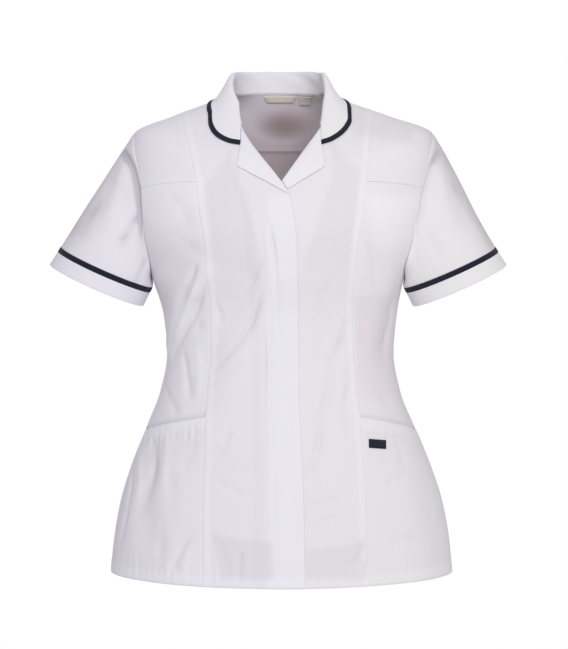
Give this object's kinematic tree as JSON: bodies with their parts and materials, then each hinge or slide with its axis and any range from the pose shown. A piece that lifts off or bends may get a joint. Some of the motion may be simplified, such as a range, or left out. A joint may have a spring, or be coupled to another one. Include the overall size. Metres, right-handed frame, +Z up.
{
  "type": "work tunic",
  "caption": "White short-sleeved work tunic with a notched collar, dark blue tape, panel seams and hip pockets, filled out as if worn.",
  "frame": {"origin": "middle of the neck hole at the height of the side neck points, where the wearer's shoulders carry the tunic", "axes": "+Z up along the body, -Y out of the front, +X towards the wearer's left"},
  "size_m": [0.6254, 0.2664, 0.7029],
  "materials": {
    "white_cloth": "matt woven polyester and cotton",
    "blue_tape": "satin tape",
    "cream_tape": "matt woven label"
  },
  "bodies": {
    "root": {"front_right": "white_cloth", "front_left": "white_cloth", "side_front_right": "white_cloth", "side_front_left": "white_cloth", "front_yoke_right": "white_cloth", "front_yoke_left": "white_cloth", "pocket_right": "white_cloth", "pocket_left": "white_cloth", "back": "white_cloth", "back_yoke": "white_cloth", "sleeve_right": "white_cloth", "sleeve_left": "white_cloth", "sleeve_tape_right": "blue_tape", "sleeve_tape_left": "blue_tape", "cuff_right": "white_cloth", "cuff_left": "white_cloth", "lapel_right": "white_cloth", "lapel_left": "white_cloth", "collar": "white_cloth", "collar_tape": "blue_tape", "hanger_loop": "cream_tape", "size_label": "cream_tape", "pocket_tab": "blue_tape"}
  },
  "joints": []
}
